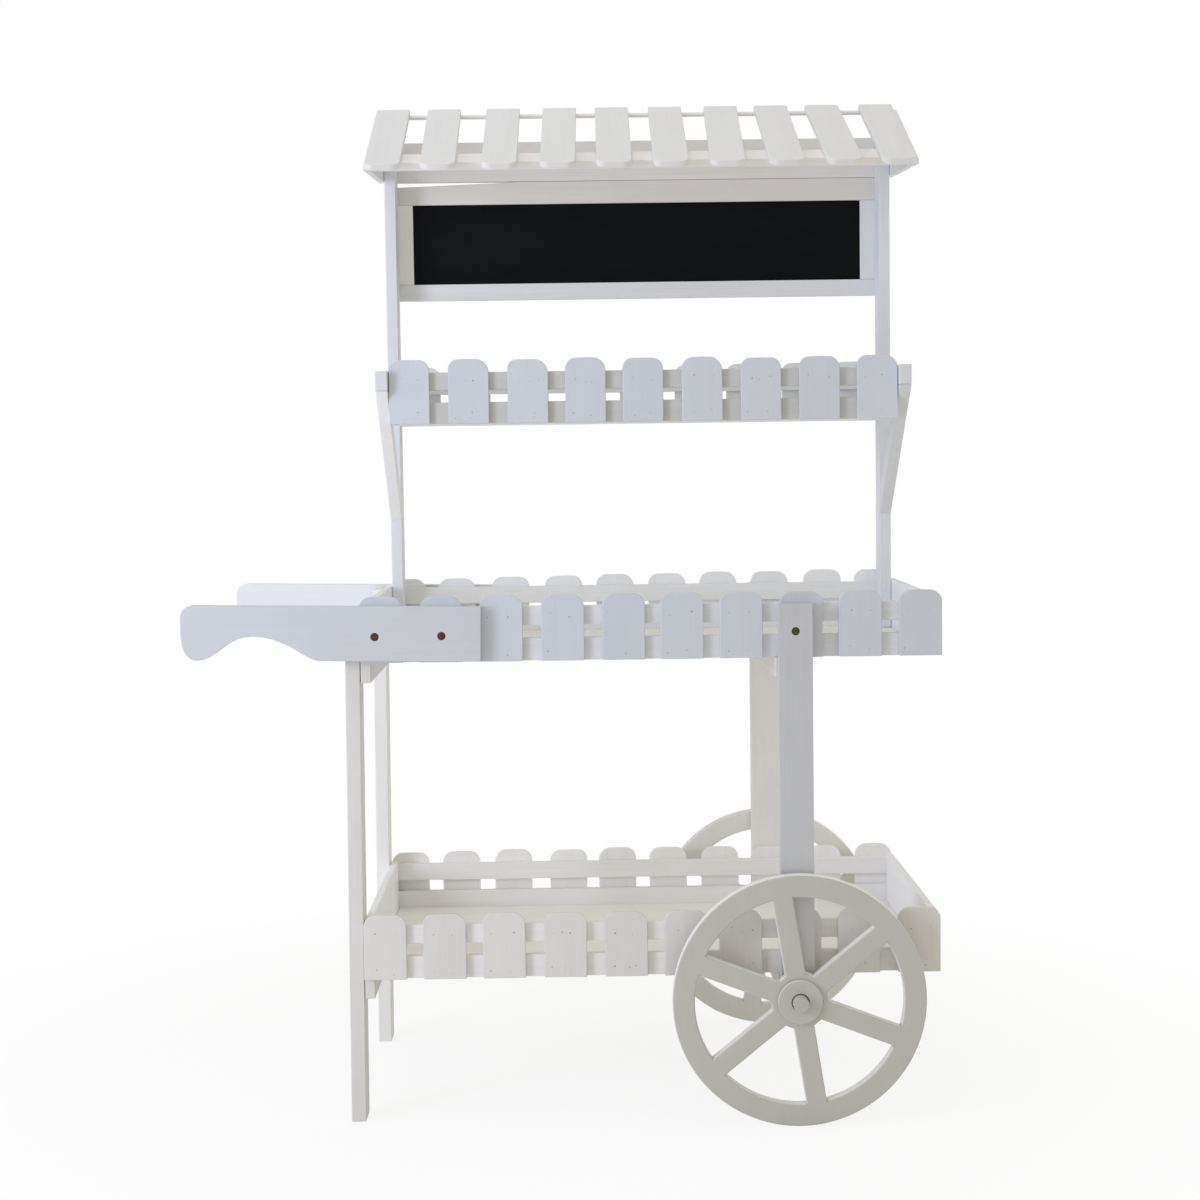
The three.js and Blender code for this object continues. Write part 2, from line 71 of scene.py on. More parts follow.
class Tree:
    """A small helper for wiring a material's nodes."""

    def __init__(self, name):
        self.material = bpy.data.materials.new(name)
        self.material.use_nodes = True
        self.nodes = self.material.node_tree.nodes
        self.links = self.material.node_tree.links
        self.bsdf = self.nodes["Principled BSDF"]
        self.output = self.nodes["Material Output"]

    def add(self, kind, inputs=None, **settings):
        node = self.nodes.new(kind)
        for key, value in settings.items():
            setattr(node, key, value)
        for key, value in (inputs or {}).items():
            if isinstance(value, bpy.types.NodeSocket):
                self.links.new(value, node.inputs[key])
            else:
                node.inputs[key].default_value = value
        return node

    def math(self, operation, a, b):
        return self.add("ShaderNodeMath", {0: a, 1: b}, operation=operation).outputs[0]

    def ramp(self, factor, stops):
        node = self.add("ShaderNodeValToRGB", {"Fac": factor})
        elements = node.color_ramp.elements
        for index, (place, colour) in enumerate(stops):
            element = elements[index] if index < len(elements) else elements.new(place)
            element.position = place
            element.color = colour
        return node.outputs["Color"]

    def multiply(self, a, b):
        """Two colours multiplied: 0 is the node's factor, 6 and 7 its colour inputs, 2 its colour output."""
        node = self.add("ShaderNodeMix", {0: 1.0, 6: a, 7: b}, data_type="RGBA", blend_type="MULTIPLY")
        return node.outputs[2]


def tint(colour, factor):
    """The colour made lighter or darker, with no channel over full."""
    return tuple(min(1.0, c * factor) for c in colour[:3]) + (1,)


# Noise cells to a metre of painted wood, across the grain and along it
RIBS_ACROSS, RIBS_ALONG = 520.0, 7.0
BANDS_ACROSS, BANDS_ALONG = 42.0, 2.2
# How far one unit of seed moves the pattern, in metres
SEED_STEP = (1.7, 0.9, 2.3)


def painted_wood(name, colour, grain, seed, strength=1.0):
    """White paint over softwood: fine ribs along the grain, slow bands of tone, a faint haze."""
    tree = Tree(name)
    place = tree.add("ShaderNodeTexCoord").outputs["Object"]
    moved = tree.add("ShaderNodeMapping", {
        "Vector": place, "Location": [seed * step for step in SEED_STEP]}).outputs[0]
    fine_scale = [RIBS_ALONG if axis == grain else RIBS_ACROSS for axis in "XYZ"]
    band_scale = [BANDS_ALONG if axis == grain else BANDS_ACROSS for axis in "XYZ"]
    fine_place = tree.add("ShaderNodeMapping", {"Vector": moved, "Scale": fine_scale}).outputs[0]
    band_place = tree.add("ShaderNodeMapping", {"Vector": moved, "Scale": band_scale}).outputs[0]
    fine = tree.add("ShaderNodeTexNoise", {
        "Vector": fine_place, "Scale": 1.0, "Detail": 3.0, "Roughness": 0.6}).outputs["Fac"]
    band = tree.add("ShaderNodeTexNoise", {
        "Vector": band_place, "Scale": 1.0, "Detail": 2.0, "Roughness": 0.5,
        "Distortion": 0.6}).outputs["Fac"]
    cloud = tree.add("ShaderNodeTexNoise", {
        "Vector": moved, "Scale": 9.0, "Detail": 2.0}).outputs["Fac"]
    tone = tree.ramp(fine, [
        (0.28, tint(colour, 1 - 0.045 * strength)),
        (0.48, tint(colour, 1 - 0.008 * strength)),
        (0.72, tint(colour, 1 + 0.012 * strength)),
    ])
    slow = tree.ramp(band, [
        (0.34, (1 - 0.03 * strength,) * 3 + (1,)),
        (0.62, (1.0, 1.0, 1.0, 1)),
    ])
    grained = tree.multiply(tone, slow)
    haze = tree.ramp(cloud, [(0.35, (0.982, 0.98, 0.975, 1)), (0.65, (1.0, 1.0, 1.0, 1))])
    tree.links.new(tree.multiply(grained, haze), tree.bsdf.inputs["Base Color"])
    rough = tree.add("ShaderNodeMapRange", {
        "Value": fine, "From Min": 0.3, "From Max": 0.7, "To Min": 0.62, "To Max": 0.5})
    tree.links.new(rough.outputs[0], tree.bsdf.inputs["Roughness"])
    height = tree.math("ADD", tree.math("MULTIPLY", fine, 0.6), tree.math("MULTIPLY", band, 0.4))
    bump = tree.add("ShaderNodeBump", {
        "Height": height, "Strength": 0.2 * strength, "Distance": 0.0006})
    tree.links.new(bump.outputs[0], tree.bsdf.inputs["Normal"])
    tree.bsdf.inputs["Specular IOR Level"].default_value = 0.35
    return tree.material


def chalk_black():
    """Blackboard paint, faintly streaked along the board as if wiped."""
    tree = Tree("chalkboard_black")
    place = tree.add("ShaderNodeTexCoord").outputs["Object"]
    stretched = tree.add("ShaderNodeMapping", {"Vector": place, "Scale": (4.0, 4.0, 14.0)}).outputs[0]
    wipe = tree.add("ShaderNodeTexNoise", {
        "Vector": stretched, "Scale": 1.6, "Detail": 4.0, "Roughness": 0.6}).outputs["Fac"]
    grit = tree.add("ShaderNodeTexNoise", {"Vector": place, "Scale": 900.0, "Detail": 2.0}).outputs["Fac"]
    tone = tree.ramp(wipe, [(0.35, srgb(4, 6, 7)), (0.68, srgb(13, 16, 20))])
    tree.links.new(tone, tree.bsdf.inputs["Base Color"])
    rough = tree.add("ShaderNodeMapRange", {"Value": wipe, "To Min": 0.7, "To Max": 0.9})
    tree.links.new(rough.outputs[0], tree.bsdf.inputs["Roughness"])
    bump = tree.add("ShaderNodeBump", {"Height": grit, "Strength": 0.2, "Distance": 0.0002})
    tree.links.new(bump.outputs[0], tree.bsdf.inputs["Normal"])
    tree.bsdf.inputs["Specular IOR Level"].default_value = 0.16
    return tree.material


def metal(name, dark, light, roughness):
    """Dull bolt metal, spotted between a dark and a light tone."""
    tree = Tree(name)
    place = tree.add("ShaderNodeTexCoord").outputs["Object"]
    spots = tree.add("ShaderNodeTexNoise", {
        "Vector": place, "Scale": 700.0, "Detail": 4.0, "Roughness": 0.65}).outputs["Fac"]
    tree.links.new(tree.ramp(spots, [(0.36, dark), (0.66, light)]), tree.bsdf.inputs["Base Color"])
    rough = tree.add("ShaderNodeMapRange", {
        "Value": spots, "To Min": roughness + 0.12, "To Max": roughness - 0.08})
    tree.links.new(rough.outputs[0], tree.bsdf.inputs["Roughness"])
    bump = tree.add("ShaderNodeBump", {"Height": spots, "Strength": 0.25, "Distance": 0.0002})
    tree.links.new(bump.outputs[0], tree.bsdf.inputs["Normal"])
    tree.bsdf.inputs["Metallic"].default_value = 0.85
    return tree.material


def dent_paint():
    """The grey dimples that the sunk nails leave in the paint."""
    tree = Tree("nail_dimple")
    place = tree.add("ShaderNodeTexCoord").outputs["Object"]
    spots = tree.add("ShaderNodeTexNoise", {"Vector": place, "Scale": 60.0, "Detail": 1.0}).outputs["Fac"]
    tone = tree.ramp(spots, [(0.35, srgb(142, 142, 146)), (0.65, srgb(188, 189, 194))])
    tree.links.new(tone, tree.bsdf.inputs["Base Color"])
    tree.bsdf.inputs["Roughness"].default_value = 0.6
    return tree.material


# ---------------------------------------------------------------- CAD nodes kept, with softened edges

def weight_normals(piece):
    normals = piece.modifiers.new("normals", "WEIGHTED_NORMAL")
    normals.weight = 50
    normals.keep_sharp = False


def soften(node, width):
    """Sanded edges: the node's own mesh stays, and modifiers round its arrises."""
    weld = node.modifiers.new("weld", "WELD")
    weld.merge_threshold = NODE_WELD_GAP
    flat = node.modifiers.new("flat", "DECIMATE")
    flat.decimate_type = "DISSOLVE"
    flat.angle_limit = FLAT_ANGLE
    bevel = node.modifiers.new("bevel", "BEVEL")
    bevel.width = width
    bevel.segments = 2
    bevel.limit_method = "ANGLE"
    bevel.angle_limit = NODE_SHARP_ANGLE
    bevel.miter_outer = "MITER_ARC"
    weight_normals(node)


def dress(names, material, width):
    """Gives the named nodes one material and softened edges."""
    for name in names:
        node = nodes[name]
        node.data.materials.clear()
        node.data.materials.append(material)
        soften(node, width)


# ---------------------------------------------------------------- planks built here

def sand(mesh, width):
    """Rounds the sharp edges of a bmesh."""
    sharp = [e for e in mesh.edges if e.calc_face_angle(0) > SHARP_ANGLE]
    bmesh.ops.bevel(mesh, geom=sharp, offset=width, segments=2, profile=0.6, affect="EDGES")


def plank(mesh, outline, y0, y1, edge, material, turn=None):
    """Adds a board to a bmesh: an outline in X and Z, made solid from y0 to y1, with sanded edges."""
    board = bmesh.new()
    ring = [board.verts.new((x, y0, z)) for x, z in outline]
    face = board.faces.new(ring)
    board.normal_update()
    if face.normal.y > 0:
        face.normal_flip()
    grown = bmesh.ops.extrude_face_region(board, geom=[face])
    moved = [v for v in grown["geom"] if isinstance(v, bmesh.types.BMVert)]
    bmesh.ops.translate(board, verts=moved, vec=(0, y1 - y0, 0))
    bmesh.ops.recalc_face_normals(board, faces=board.faces)
    sand(board, edge)
    if turn is not None:
        bmesh.ops.transform(board, matrix=turn, verts=board.verts)
    for face in board.faces:
        face.material_index = material
    scratch = bpy.data.meshes.new("scratch")
    board.to_mesh(scratch)
    board.free()
    mesh.from_mesh(scratch)
    bpy.data.meshes.remove(scratch)


def finish_piece(mesh, name, materials, body="cart"):
    """Makes a smooth-shaded piece of the scene from a bmesh, on its body."""
    for face in mesh.faces:
        face.smooth = True
    data = bpy.data.meshes.new(name)
    mesh.to_mesh(data)
    mesh.free()
    for material in materials:
        data.materials.append(material)
    piece = bpy.data.objects.new(name, data)
    bpy.context.scene.collection.objects.link(piece)
    weight_normals(piece)
    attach(piece, body)
    return piece


def arc(cx, cz, radius, start, end, steps=12):
    """Points on an arc between two angles in degrees."""
    return [(cx + radius * math.cos(math.radians(start + (end - start) * i / steps)),
             cz + radius * math.sin(math.radians(start + (end - start) * i / steps)))
            for i in range(steps + 1)]


def rectangle(x0, x1, z0, z1):
    return [(x0, z0), (x1, z0), (x1, z1), (x0, z1)]


PICKET_W, PICKET_T = 68 * MM, 10 * MM
RAIL_T, LOWER_RAIL, UPPER_RAIL, UPPER_RISE = 12 * MM, 36 * MM, 30 * MM, 56 * MM
SEAM = 0.15 * MM
# The crown of a picket fades out over this depth, and its flat top is split into this many steps
CROWN_DEPTH, FLAT_STEPS = 12 * MM, 6
# The three tones that the pickets of a fence take in turn
PICKET_SHADES = (1.0, 0.985, 1.012)
# The most that a picket leans, in degrees, and that its width falls short, in mm
LEAN, WIDTH_LOSS = 0.35, 0.8
LEAN_PIVOT = 50 * MM


def picket_outline(x, z, width, height, left_r, right_r, crown):
    """A picket with two corner radii of its own and a slightly crowned top."""
    half = width / 2
    top = z + height - crown
    right = arc(x + half - right_r, top - right_r, right_r, 0, 90)
    left = arc(x - half + left_r, top - left_r, left_r, 90, 180)
    start, end = right[-1][0], left[0][0]
    flat = [(start + (end - start) * k / FLAT_STEPS, top) for k in range(1, FLAT_STEPS)]
    lifted = []
    for px, pz in right + flat + left:
        rise = min(1.0, max(0.0, (pz - top + CROWN_DEPTH) / CROWN_DEPTH))
        lifted.append((px, pz + crown * rise * (1 - ((px - x) / half) ** 2)))
    return [(x - half, z), (x + half, z)] + lifted


# How far each picket stands from its even place, in mm. Read from the photo for the front fences and for
# what shows of the two trays' back fences, given for the shelf's back fence, and 0 where none was read
SHIFTS = {
    "lower_tray_back_fence": (0, -1.1, -0.2, 6.2, 1.7, 0, 1.0, -2.5, 0, 0),
    "shelf_back_fence": (2.0, -6.5, 0, 0, 0, 0, -5.2, -3.0, -4.0),
    "middle_tray_back_fence": (0, -4.0, -1.1, 0.7, -0.3, 0, -1.5, -2.3, -0.6, -2.5),
    "lower_tray_front_fence": (0, 0.1, 0.2, 3.3, 5.5, 5.8, -1.3, -1.2, -1.8, 0),
    "middle_tray_front_fence": (0, 0, 0.2, 2.7, 4.0, 1.4, 0.2, 0, -1.0, 0),
    "shelf_front_fence": (0.6, 1.5, 2.7, 1.0, -1.0, 0, 0.6, 0.6, -0.6),
}


# Height, left and right corner radius and crown of each picket, in mm. Most heights of pickets that show
# were set against the photo. Radii and crowns are given, and hidden pickets are guessed
TOPS = {
    "shelf_front_fence": (
        (107.2, 17, 18, 0.5), (107.6, 15, 20, 1.5), (106, 14, 22, 0.8), (108, 16, 19, 2.2),
        (106.1, 16, 18, 0.8), (106.6, 16, 19, 3.2), (103.8, 15, 16, 1), (105.2, 14, 17, 2.4),
        (105.8, 15, 20, 1)),
    "shelf_back_fence": (
        (105, 18, 18, 0.8), (104, 17, 18, 0.8), (104, 17, 18, 0.8), (104, 17, 18, 0.8),
        (104, 17, 18, 0.8), (104, 17, 18, 0.8), (104.5, 17, 18, 0.8), (105, 15, 18, 0.8),
        (106, 12, 16, 0.5)),
    "middle_tray_back_fence": (
        (101, 18, 20, 0.5), (100.8, 18, 20, 1), (102.4, 17, 17, 0.5), (103.2, 18, 16, 1),
        (104.9, 18, 18, 1.5), (104.9, 17, 18, 1), (106.7, 18, 20, 1.5), (106, 17, 20, 1),
        (108.2, 18, 16, 2), (107.2, 18, 18, 1)),
    "lower_tray_back_fence": (
        (103.8, 18, 17, 1), (104.6, 17, 18, 0.5), (107.1, 18, 16, 2), (104.6, 19, 14, 0.8),
        (107.6, 19, 16, 2), (106.8, 18, 18, 1), (106.5, 18, 18, 1), (105.5, 18, 18, 1),
        (105.5, 18, 18, 1), (108.3, 18, 20, 2)),
}


def top_shape(node_name, index):
    """A picket's top from TOPS, or a random one where the fence has no entry there."""
    if node_name in TOPS:
        return TOPS[node_name][index]
    return (104.4 + rng.uniform(-0.8, 1.0), rng.uniform(15, 19), rng.uniform(16, 21), rng.uniform(0.4, 2.2))


def fence(node_name, pickets, side, paints):
    """A row of pickets over two rails in the place of a fence node. side is -1 where it faces front.

    Returns the pickets' middles in X, their outer face in Y and their foot in Z.
    """
    low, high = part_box(node_name)
    x0, x1, z0 = low.x, high.x, low.z
    outer = low.y if side < 0 else high.y
    depths = sorted([outer, outer - side * (PICKET_T - SEAM)])
    rail_depths = sorted([outer - side * PICKET_T, outer - side * (PICKET_T + RAIL_T)])
    mesh = bmesh.new()
    pitch = (x1 - x0 - PICKET_W) / (pickets - 1)
    middles = []
    for index in range(pickets):
        x = x0 + PICKET_W / 2 + index * pitch
        x += SHIFTS[node_name][index] * MM
        lean = rng.uniform(-LEAN, LEAN) if 0 < index < pickets - 1 else 0
        pivot = Vector((x, 0, z0 + LEAN_PIVOT))
        turn = (Matrix.Translation(pivot) @ Matrix.Rotation(math.radians(lean), 4, "Y")
                @ Matrix.Translation(-pivot))
        width = PICKET_W - rng.uniform(0, WIDTH_LOSS) * MM
        shape = [v * MM for v in top_shape(node_name, index)]
        plank(mesh, picket_outline(x, z0, width, *shape), *depths, PICKET_EDGE,
              index % len(PICKET_SHADES), turn)
        middles.append(x)
    for bottom, height in ((0, LOWER_RAIL), (UPPER_RISE, UPPER_RAIL)):
        plank(mesh, rectangle(x0, x1, z0 + bottom, z0 + bottom + height), *rail_depths,
              LATH_EDGE, len(PICKET_SHADES))
    piece = finish_piece(mesh, node_name.replace("_fence", "_pickets"), paints)
    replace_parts(piece, node_name)
    return middles, outer, z0


# A nail's half section as radius and height over the paint, and its places from the picket's foot, in mm
NAIL_SECTION, NAIL_SIDES = ((0.0, 0.22), (0.7, 0.20), (1.05, 0.05), (1.15, -0.15)), 8
NAIL_PLACES, NAIL_STRAY = ((-17, 73), (14, 71), (-19, 13), (9, 12)), 4
# Factors on the section's size and on its height
NAIL_SIZES, NAIL_PROUD = (0.62, 0.8, 1.0, 1.15, 1.35), 0.6


def nail_row(name, middles, outer, side, z0):
    """Nails high and low in every picket, unevenly placed: low grey domes that read as dimples."""
    mesh = bmesh.new()
    for middle in middles:
        shift = rng.uniform(-5, 5)
        places = list(NAIL_PLACES)
        if rng.random() < 0.35:
            places.append((rng.uniform(-4, 8), 70))
        if rng.random() < 0.3:
            places.append((rng.uniform(-8, 16), 16))
        for dx, dz in places:
            x = middle + (dx + shift + rng.uniform(-NAIL_STRAY, NAIL_STRAY)) * MM
            z = z0 + (dz + rng.uniform(-NAIL_STRAY, NAIL_STRAY)) * MM
            size = rng.choice(NAIL_SIZES)
            rings = []
            for radius, proud in NAIL_SECTION:
                y = outer + side * proud * MM * NAIL_PROUD
                if radius == 0:
                    rings.append([mesh.verts.new((x, y, z))])
                    continue
                angles = [i * math.pi / (NAIL_SIDES / 2) for i in range(NAIL_SIDES)]
                rings.append([mesh.verts.new((
                    x + radius * size * MM * math.cos(a), y, z + radius * size * MM * math.sin(a)))
                    for a in angles])
            for i in range(NAIL_SIDES):
                j = (i + 1) % NAIL_SIDES
                mesh.faces.new((rings[0][0], rings[1][i], rings[1][j]))
                for ring, wider in zip(rings[1:], rings[2:]):
                    mesh.faces.new((ring[i], wider[i], wider[j], ring[j]))
    bmesh.ops.recalc_face_normals(mesh, faces=mesh.faces)
    finish_piece(mesh, name, [NAIL])


# ---------------------------------------------------------------- paints

NAIL = dent_paint()


def picket_paints(name, colour, rail_colour):
    """The paints of a fence: one for each picket shade, then the rails'."""
    paints = [painted_wood(f"{name}_{i}", tint(colour, shade), "Z", seed=1.3 * i + len(name), strength=0.75)
              for i, shade in enumerate(PICKET_SHADES)]
    return paints + [painted_wood(f"{name}_rail", rail_colour, "X", seed=4.1)]


# The real cart is probably all one white. These whites differ because each was set to bring its piece
# nearer to the photo under this script's lamps, seen from this script's camera, so their differences are
# painted light and shade: the back fences, far legs, far handle, far wheel, left brace and left stile are
# painted lighter, the near wheel, the near wheel leg and the near handle darker, the shelf's rails greyer,
# and the shelf's and middle tray's pickets bluer and the lower tray's warmer for the colour of the light
# The shelf's and middle tray's front pickets are painted bluish and the lower tray's warm, as painted colour
# of the light; the shelf's rails are a greyer white, as painted shade behind the pickets
middle_front_paints = picket_paints("middle_picket_paint", srgb(210, 214, 223), srgb(227, 228, 232))
upper_paints = picket_paints("upper_picket_paint", srgb(214, 218, 227), srgb(207, 207, 204))
# A whiter paint for the shelf's and middle tray's back fences: painted light on their inner faces
upper_back_lit_paints = picket_paints("upper_back_picket_paint", srgb(246, 248, 251), srgb(243, 244, 246))
lower_paints = picket_paints("lower_picket_paint", srgb(225, 222, 220), srgb(238, 236, 235))
# A whiter paint for the lower tray's back fence: painted light on its inner face
lower_back_lit_paints = picket_paints("lower_back_picket_paint", srgb(248, 247, 246), srgb(245, 244, 243))
lower_end_paint = painted_wood("lower_end_paint", srgb(247, 248, 251), "Y", seed=3.8)
upper_end_paint = painted_wood("upper_end_paint", srgb(243, 246, 251), "Y", seed=4.4)
floor_paint = painted_wood("tray_floor_paint", srgb(249, 247, 245), "X", seed=6.0)
shelf_floor_paint = painted_wood("shelf_floor_paint", srgb(248, 248, 247), "X", seed=6.6)
beam_paint = painted_wood("beam_paint", srgb(224, 221, 216), "Y", seed=3.4)
# The far legs are painted whiter, as painted light, and the near wheel leg greyer, as painted shade from the
# wheel
near_leg_paint = painted_wood("near_leg_paint", srgb(224, 221, 218), "Z", seed=5.4)
far_leg_lit_paint = painted_wood("far_leg_lit_paint", srgb(244, 243, 241), "Z", seed=5.8)
near_wheel_leg_shaded_paint = painted_wood("near_wheel_leg_shaded_paint", srgb(202, 203, 206), "Z", seed=9.0)
far_wheel_leg_lit_paint = painted_wood("far_wheel_leg_lit_paint", srgb(244, 243, 242), "Z", seed=10.0)
# The near handle is painted greyer, as painted shade on its front face, and the far handle whiter, as
# painted light
handle_paint = painted_wood("handle_paint", srgb(207, 210, 216), "X", seed=8.0, strength=0.6)
far_handle_lit_paint = painted_wood("far_handle_lit_paint", srgb(236, 238, 243), "X", seed=8.6, strength=0.6)
post_paint = painted_wood("post_paint", srgb(233, 236, 243), "Z", seed=5.0)
arm_paint = painted_wood("arm_paint", srgb(226, 228, 234), "Y", seed=3.0)
# The left brace is painted whiter than the right one: painted light from the left
left_brace_lit_paint = painted_wood("left_brace_lit_paint", srgb(250, 250, 252), "Z", seed=5.2)
right_brace_paint = painted_wood("right_brace_paint", srgb(225, 226, 231), "Z", seed=5.3)
frame_paint = painted_wood("frame_paint", srgb(241, 238, 236), "X", seed=2.0)
top_rail_paint = painted_wood("top_rail_paint", srgb(236, 231, 228), "X", seed=2.2)
bottom_rail_paint = painted_wood("bottom_rail_paint", srgb(238, 239, 243), "X", seed=2.4)
# The left stile is painted whiter: painted light lifting the post's shade on it
left_stile_lit_paint = painted_wood("left_stile_lit_paint", srgb(252, 251, 246), "Z", seed=2.8)
stile_paint = painted_wood("stile_paint", srgb(240, 241, 245), "Z", seed=2.6)
roof_paint = painted_wood("roof_paint", srgb(231, 231, 231), "Z", seed=13.0, strength=0.6)
# The near wheel is painted grey, as painted shade, the far wheel whiter, as painted light, and all wheel
# edges near white, as a painted highlight
wheel_paint = painted_wood("wheel_paint", srgb(197, 195, 190), "Z", seed=11.0, strength=0.5)
far_wheel_lit_paint = painted_wood("far_wheel_lit_paint", srgb(240, 239, 236), "Z", seed=11.5, strength=0.5)
wheel_edge_highlight_paint = painted_wood("wheel_edge_highlight_paint", srgb(242, 241, 238), "Z", seed=11.8, strength=0.4)
axle_paint = painted_wood("axle_paint", srgb(188, 188, 182), "Y", seed=12.0, strength=0.6)
board_black = chalk_black()
bronze = metal("handle_bolt_bronze", srgb(58, 36, 32), srgb(120, 84, 76), 0.45)
brass = metal("wheel_leg_bolt_brass", srgb(38, 47, 24), srgb(104, 108, 58), 0.4)

# ---------------------------------------------------------------- fences

FENCES = (
    ("lower_tray_front", 10, -1, lower_paints), ("lower_tray_back", 10, 1, lower_back_lit_paints),
    ("middle_tray_front", 10, -1, middle_front_paints), ("middle_tray_back", 10, 1, upper_back_lit_paints),
    ("shelf_front", 9, -1, upper_paints), ("shelf_back", 9, 1, upper_back_lit_paints),
)
for row, count, side, paints in FENCES:
    middles, outer, z0 = fence(f"{row}_fence", count, side, paints)
    nail_row(f"{row}_nails", middles, outer, side, z0)

# ---------------------------------------------------------------- the other boards

dress(["lower_tray_left_end", "lower_tray_right_end"], lower_end_paint, BOARD_EDGE)
dress(["middle_tray_left_end", "middle_tray_right_end", "shelf_left_end", "shelf_right_end"],
      upper_end_paint, BOARD_EDGE)
dress(["lower_tray_floor", "middle_tray_floor"], floor_paint, FLOOR_EDGE)
dress(["shelf_floor"], shelf_floor_paint, FLOOR_EDGE)
dress(["front_leg"], near_leg_paint, HEAVY_EDGE)
dress(["back_leg"], far_leg_lit_paint, HEAVY_EDGE)
dress(["left_post", "right_post"], post_paint, HEAVY_EDGE)
dress(["lower_leg_beam", "middle_leg_beam", "lower_wheel_beam", "middle_wheel_beam"],
      beam_paint, BOARD_EDGE)
dress(["left_shelf_arm", "right_shelf_arm"], arm_paint, BOARD_EDGE)
dress(["left_shelf_brace"], left_brace_lit_paint, BOARD_EDGE)
dress(["right_shelf_brace"], right_brace_paint, BOARD_EDGE)
dress(["front_handle"], handle_paint, HEAVY_EDGE)
dress(["back_handle"], far_handle_lit_paint, HEAVY_EDGE)
dress(["front_wheel_leg"], near_wheel_leg_shaded_paint, HEAVY_EDGE)
dress(["back_wheel_leg"], far_wheel_leg_lit_paint, HEAVY_EDGE)
dress(["header_board"], frame_paint, LATH_EDGE)
dress(["chalkboard_bottom_rail"], bottom_rail_paint, LATH_EDGE)
dress(["chalkboard_left_stile"], left_stile_lit_paint, LATH_EDGE)
dress(["chalkboard_right_stile"], stile_paint, LATH_EDGE)
dress(["chalkboard_panel"], board_black, PANEL_EDGE)
dress(["eave_rail", "ridge_lath"], frame_paint, LATH_EDGE)
dress(["left_roof_gusset", "right_roof_gusset"], stile_paint, LATH_EDGE)
dress(["axle"], axle_paint, HEAVY_EDGE)
dress(["front_handle_bolt_1", "front_handle_bolt_2", "back_handle_bolt_1", "back_handle_bolt_2"],
      bronze, BOLT_EDGE)
dress(["front_wheel_leg_bolt", "back_wheel_leg_bolt"], brass, BOLT_EDGE)

# ---------------------------------------------------------------- the frame's top rail and the roof slats

REBATE_FRONT, REBATE_RISE = 6 * MM, 8 * MM
# The slit under the header: its gap along the rail, its depth at the left end, its share of the length
HEADER_GAP, SLIT_DROP, SLIT_SHARE = 0.5 * MM, 8.5 * MM, 0.27


def top_rail():
    """The rail above the board, whose upper edge falls away from the header towards the left end."""
    low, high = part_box("chalkboard_top_rail")
    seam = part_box("header_board")[0].z - HEADER_GAP
    mesh = bmesh.new()
    sections = []
    slit_end = low.x + SLIT_SHARE * (high.x - low.x)
    for x, top in ((low.x, seam - SLIT_DROP), (slit_end, seam), (high.x, seam)):
        sections.append([mesh.verts.new((x, y, z)) for y, z in (
            (low.y, low.z), (low.y, top), (high.y, top), (high.y, low.z + REBATE_RISE),
            (low.y + REBATE_FRONT, low.z + REBATE_RISE), (low.y + REBATE_FRONT, low.z))])
    for here, following in zip(sections, sections[1:]):
        for i in range(len(here)):
            j = (i + 1) % len(here)
            mesh.faces.new((here[i], here[j], following[j], following[i]))
    mesh.faces.new(sections[0])
    mesh.faces.new(sections[-1])
    bmesh.ops.recalc_face_normals(mesh, faces=mesh.faces)
    sand(mesh, TOP_RAIL_EDGE)
    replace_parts(finish_piece(mesh, "board_top_rail", [top_rail_paint]), "chalkboard_top_rail")


top_rail()

ROOF_PITCH, SLAT_L, SLAT_T = math.radians(26), 300 * MM, 10 * MM
SLAT_LOW_R, SLAT_HIGH_R = 16 * MM, 3 * MM
# Offsets of each slat's lower and upper end from its even place, in mm, read from the photo
SLAT_SHIFTS = ((-1.1, -1.5), (-4.0, -6.7), (2.0, 2.4), (3.4, 6.7), (2.0, 3.3),
               (1.4, 2.1), (0, 5.5), (3.4, -0.6), (4.2, -5.5), (0, -5.2))


def slat(number, shifts):
    """One roof slat, drawn flat with its lower end at the origin and laid down the slope."""
    name = f"roof_slat_{number:02d}"
    low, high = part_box(name)
    x0, x1 = low.x, high.x
    eave = Vector((0, high.y - SLAT_L * math.cos(ROOF_PITCH), low.z))
    a, b = SLAT_LOW_R, SLAT_HIGH_R
    outline = (arc(x0 + a, a, a, 180, 270) + arc(x1 - a, a, a, 270, 360)
               + arc(x1 - b, SLAT_L - b, b, 0, 90, 4) + arc(x0 + b, SLAT_L - b, b, 90, 180, 4))
    low_shift, high_shift = shifts
    outline = [(x + (low_shift + (high_shift - low_shift) * z / SLAT_L) * MM, z) for x, z in outline]
    mesh = bmesh.new()
    plank(mesh, outline, -SLAT_T, 0, BOARD_EDGE, 0)
    piece = finish_piece(mesh, f"{name}_board", [roof_paint])
    sine, cosine = math.sin(ROOF_PITCH), math.cos(ROOF_PITCH)
    turn = Matrix(((1, 0, 0), (0, sine, cosine), (0, -cosine, sine))).to_4x4()
    piece.matrix_world = Matrix.Translation(eave) @ turn
    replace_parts(piece, name)


for index, shifts in enumerate(SLAT_SHIFTS):
    slat(index + 1, shifts)

# ---------------------------------------------------------------- wheels

WHEEL_R, RIM_W, SPOKE_W, WEB_R = 200 * MM, 35 * MM, 32 * MM, 45 * MM
PLATE_T, OUTER_HUB_T, INNER_HUB_T = 22 * MM, 8 * MM, 5 * MM
HUB_R, BORE_R, WHEEL_EDGE = 35 * MM, 14 * MM, 2.6 * MM
SPOKES, FIRST_SPOKE = 6, 39
RIM_POINTS, BORE_POINTS, WINDOW_STEPS, LATHE_SIDES = 144, 32, 22, 64
